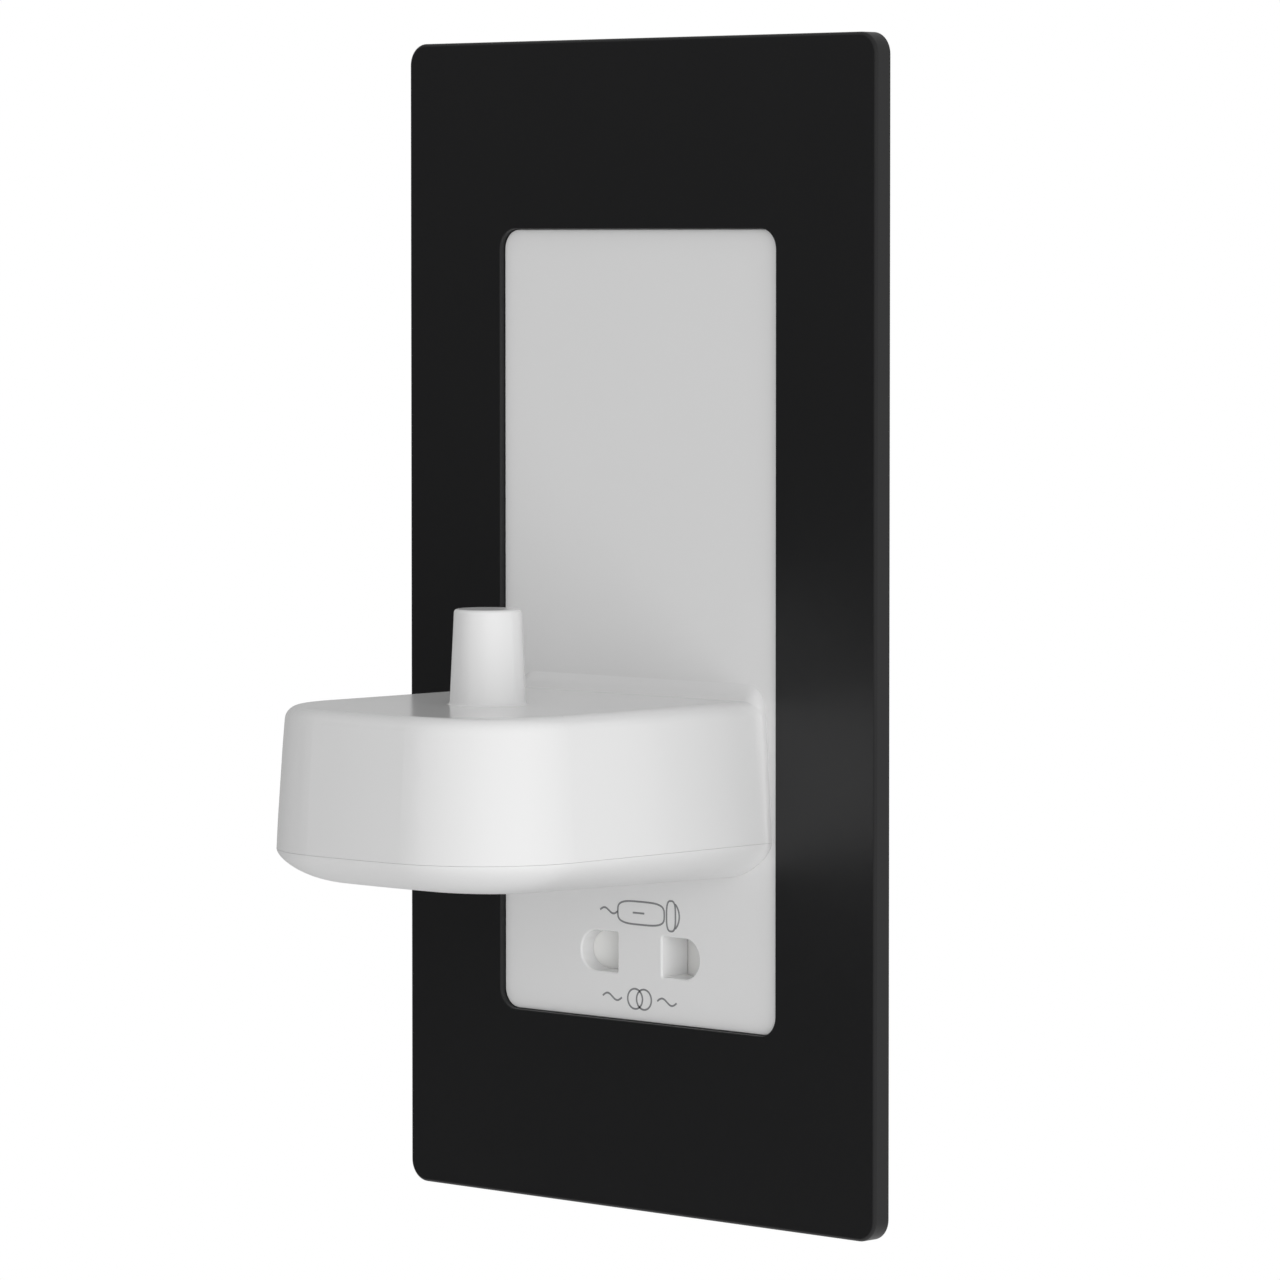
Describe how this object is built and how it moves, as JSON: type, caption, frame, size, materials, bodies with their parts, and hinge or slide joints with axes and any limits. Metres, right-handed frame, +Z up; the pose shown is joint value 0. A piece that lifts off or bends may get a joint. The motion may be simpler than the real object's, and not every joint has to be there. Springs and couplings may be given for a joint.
{
  "type": "shaver socket with toothbrush charging shelf",
  "caption": "In-wall shaver socket with a black rectangular faceplate, a recessed white panel and a rounded charging shelf with a tapered post for a toothbrush.",
  "frame": {"origin": "middle of the wall plane, halfway between the two fixing holes of the yoke", "axes": "+Z up, +X to the right of someone facing the unit, -Y out of the wall towards the viewer"},
  "size_m": [0.088, 0.1007, 0.162],
  "materials": {
    "black_plate": "satin moulded black",
    "galvanised_steel": "galvanised sheet",
    "white_panel": "glossy moulded white",
    "white_cover": "glossy moulded white",
    "grey_housing": "matt moulded dark grey",
    "zinc_screw": "zinc plated",
    "carrier_white": "matt moulded white",
    "shutter_white": "satin moulded white",
    "spring_steel": "drawn spring wire",
    "contact_bronze": "phosphor bronze strip",
    "core_laminations": "varnished laminations",
    "former_nylon": "moulded nylon",
    "copper_winding": "enamelled copper",
    "cutout_case": "moulded case",
    "terminal_grey": "moulded light grey",
    "terminal_brass": "turned brass",
    "circuit_board": "green solder mask",
    "ferrite": "sintered ferrite",
    "capacitor_sleeve": "shrunk sleeve",
    "film_capacitor": "dipped case",
    "lead_brown": "extruded insulation",
    "lead_white": "extruded insulation",
    "lead_red": "extruded insulation",
    "tinned_brass": "tinned brass",
    "lead_green_yellow": "extruded insulation"
  },
  "bodies": {
    "unit": {"faceplate": "black_plate", "mounting_yoke": "galvanised_steel", "front_panel": "white_panel", "shelf_base_cover": "white_cover", "rear_housing": "grey_housing", "housing_screws": "zinc_screw", "socket_carrier": "carrier_white", "carrier_screws": "zinc_screw", "shutter_spring_right": "spring_steel", "shutter_spring_left": "spring_steel", "contact_right": "contact_bronze", "contact_left": "contact_bronze", "transformer_core": "core_laminations", "transformer_former": "former_nylon", "secondary_winding": "copper_winding", "primary_winding": "copper_winding", "transformer_strap": "galvanised_steel", "strap_screws": "zinc_screw", "thermal_cutout": "cutout_case", "terminal_block": "terminal_grey", "terminal_clamps": "terminal_brass", "terminal_screws": "zinc_screw", "charger_board": "circuit_board", "coil_former": "former_nylon", "charging_coil": "copper_winding", "ferrite_core": "ferrite", "filter_capacitor": "capacitor_sleeve", "tuning_capacitor": "film_capacitor", "driver_chip": "cutout_case", "supply_leads": "lead_brown", "socket_leads": "lead_white", "charger_leads": "lead_red", "earth_tag": "tinned_brass", "earth_lead": "lead_green_yellow"},
    "shutter_right": {"shutter_right": "shutter_white"},
    "shutter_left": {"shutter_left": "shutter_white"}
  },
  "joints": [
    {"name": "shutter_right_slide", "type": "slide", "parent": "unit", "child": "shutter_right", "axis": [1, 0, 0], "range_m": [0, 0.0072], "stiffness_N_per_m": 60, "springref_m": -0.004, "deforming": ["shutter_spring_right"]},
    {"name": "shutter_left_slide", "type": "slide", "parent": "unit", "child": "shutter_left", "axis": [-1, 0, 0], "range_m": [0, 0.0072], "stiffness_N_per_m": 60, "springref_m": -0.004, "deforming": ["shutter_spring_left"]}
  ]
}
